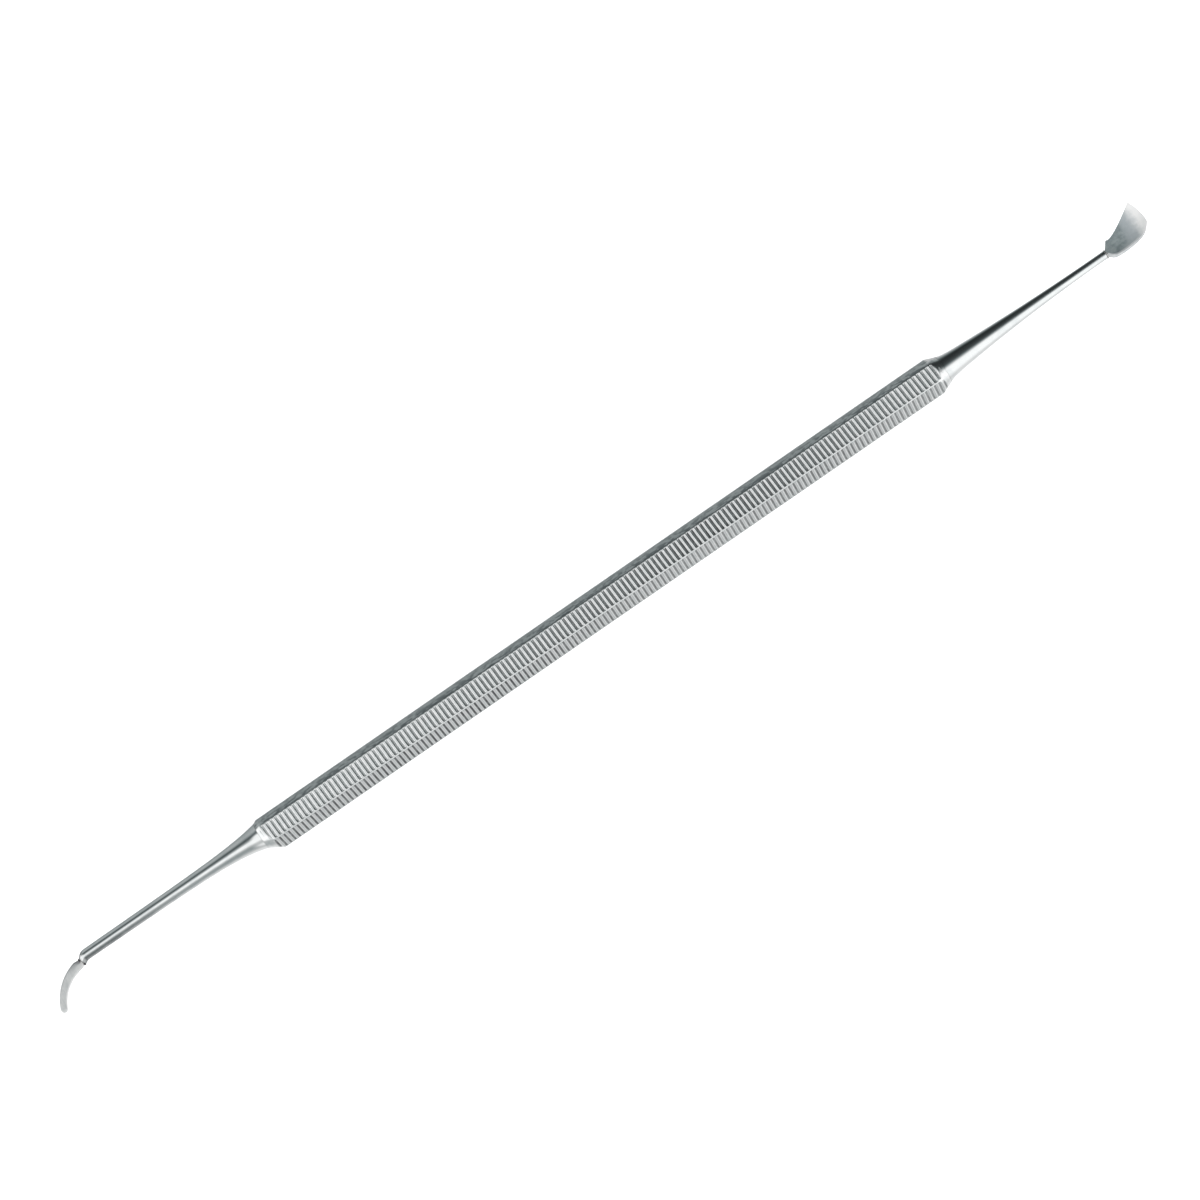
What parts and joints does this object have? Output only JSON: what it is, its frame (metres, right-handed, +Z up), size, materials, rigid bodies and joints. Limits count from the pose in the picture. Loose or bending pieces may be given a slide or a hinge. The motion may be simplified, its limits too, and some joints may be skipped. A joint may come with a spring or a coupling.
{
  "type": "dental explorer",
  "caption": "Slim double-ended dental hand instrument in polished steel: a ribbed hexagonal handle between a curved flat pick and a small dished scoop.",
  "frame": {"origin": "middle of the handle's bottom flat, which is the flat that the instrument lies on", "axes": "+X along the handle towards the scoop, +Z up from the surface that it lies on; the pick curves towards -Y and the scoop flares towards +Y"},
  "size_m": [0.1706, 0.0083, 0.0044],
  "materials": {
    "ribbed_steel": "polished stainless steel with fine cross ribs",
    "polished_steel": "mirror-polished stainless steel",
    "satin_steel": "satin, finely ground stainless steel",
    "silver_braze": "smooth silver braze"
  },
  "bodies": {
    "root": {"handle": "ribbed_steel", "pick_shank": "polished_steel", "pick_blade": "satin_steel", "pick_braze_bead": "silver_braze", "scoop_shank": "polished_steel", "scoop_blade": "satin_steel", "scoop_braze_bead": "silver_braze"}
  },
  "joints": []
}
